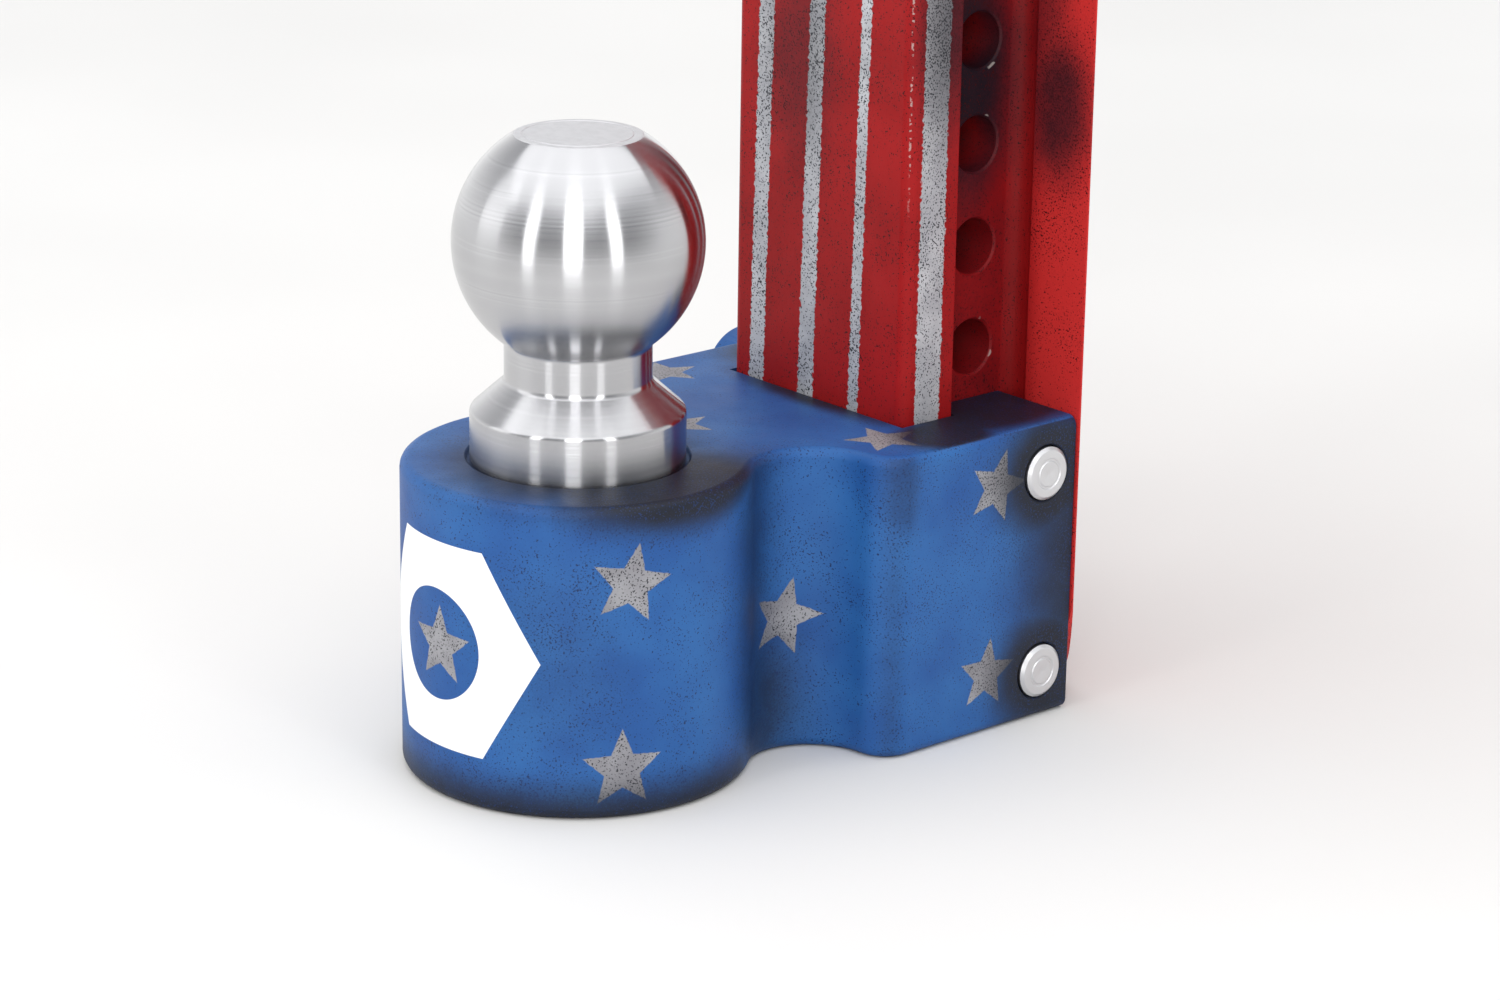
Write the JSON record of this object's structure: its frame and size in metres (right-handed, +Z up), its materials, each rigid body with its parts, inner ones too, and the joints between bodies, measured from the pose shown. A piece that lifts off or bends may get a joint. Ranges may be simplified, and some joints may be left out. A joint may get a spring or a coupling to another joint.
{
  "type": "trailer hitch with ball",
  "caption": "Adjustable drop hitch: square receiver shank and slotted beam with a row of pin holes, sliding ball mount on two locking cross pins, tow ball with flat top.",
  "frame": {"origin": "in the foot of the beam, on the line of its pin holes, in the plane that the hitch stands on", "axes": "+Z up along the beam, +Y along the shank towards the vehicle, -Y towards the trailer and the ball, +X to the side where the pins' plain ends show"},
  "size_m": [0.1151, 0.3838, 0.2286],
  "materials": {
    "red_paint": "flag red paint with pale stripes, dark overspray and fine black speckle, satin clear coat",
    "blue_paint": "mid blue paint with grey stars, navy overspray and fine black speckle, satin clear coat",
    "turned_steel": "fine-turned and polished stainless steel",
    "pin_steel": "turned stainless steel with a faced end",
    "zinc": "zinc plated steel",
    "brass": "machined brass",
    "black_rubber": "moulded black rubber"
  },
  "bodies": {
    "drawbar": {"drawbar": "red_paint"},
    "carriage": {"ball_mount": "blue_paint", "tow_ball": "turned_steel", "ball_lock_washer": "zinc", "ball_nut": "zinc"},
    "lower_pin": {"lower_pin_shaft": "pin_steel", "lower_lock_body": "zinc", "lower_plug_clip": "zinc", "lower_lock_seal": "black_rubber"},
    "lower_plug": {"lower_lock_plug": "brass", "lower_lock_cam": "zinc", "lower_wafer_1": "brass", "lower_wafer_2": "brass", "lower_wafer_3": "brass"},
    "lower_cap": {"lower_dust_cap": "black_rubber"},
    "upper_pin": {"upper_pin_shaft": "pin_steel", "upper_lock_body": "zinc", "upper_plug_clip": "zinc", "upper_lock_seal": "black_rubber"},
    "upper_plug": {"upper_lock_plug": "brass", "upper_lock_cam": "zinc", "upper_wafer_1": "brass", "upper_wafer_2": "brass", "upper_wafer_3": "brass"},
    "upper_cap": {"upper_dust_cap": "black_rubber"}
  },
  "joints": [
    {"name": "height_slide", "type": "slide", "parent": "drawbar", "child": "carriage", "axis": [0, 0, 1], "range_m": [0, 0.1524]},
    {"name": "lower_pin_slide", "type": "slide", "parent": "carriage", "child": "lower_pin", "axis": [-1, 0, 0], "range_m": [0, 0.12]},
    {"name": "lower_plug_turn", "type": "hinge", "parent": "lower_pin", "child": "lower_plug", "pos_m": [-0.056, 0, 0.0139], "axis": [-1, 0, 0], "range_deg": [0, 90]},
    {"name": "lower_cap_pull", "type": "slide", "parent": "lower_pin", "child": "lower_cap", "axis": [-1, 0, 0], "range_m": [0, 0.02]},
    {"name": "upper_pin_slide", "type": "slide", "parent": "carriage", "child": "upper_pin", "axis": [-1, 0, 0], "range_m": [0, 0.12]},
    {"name": "upper_plug_turn", "type": "hinge", "parent": "upper_pin", "child": "upper_plug", "pos_m": [-0.056, 0, 0.0647], "axis": [-1, 0, 0], "range_deg": [0, 90]},
    {"name": "upper_cap_pull", "type": "slide", "parent": "upper_pin", "child": "upper_cap", "axis": [-1, 0, 0], "range_m": [0, 0.02]}
  ]
}
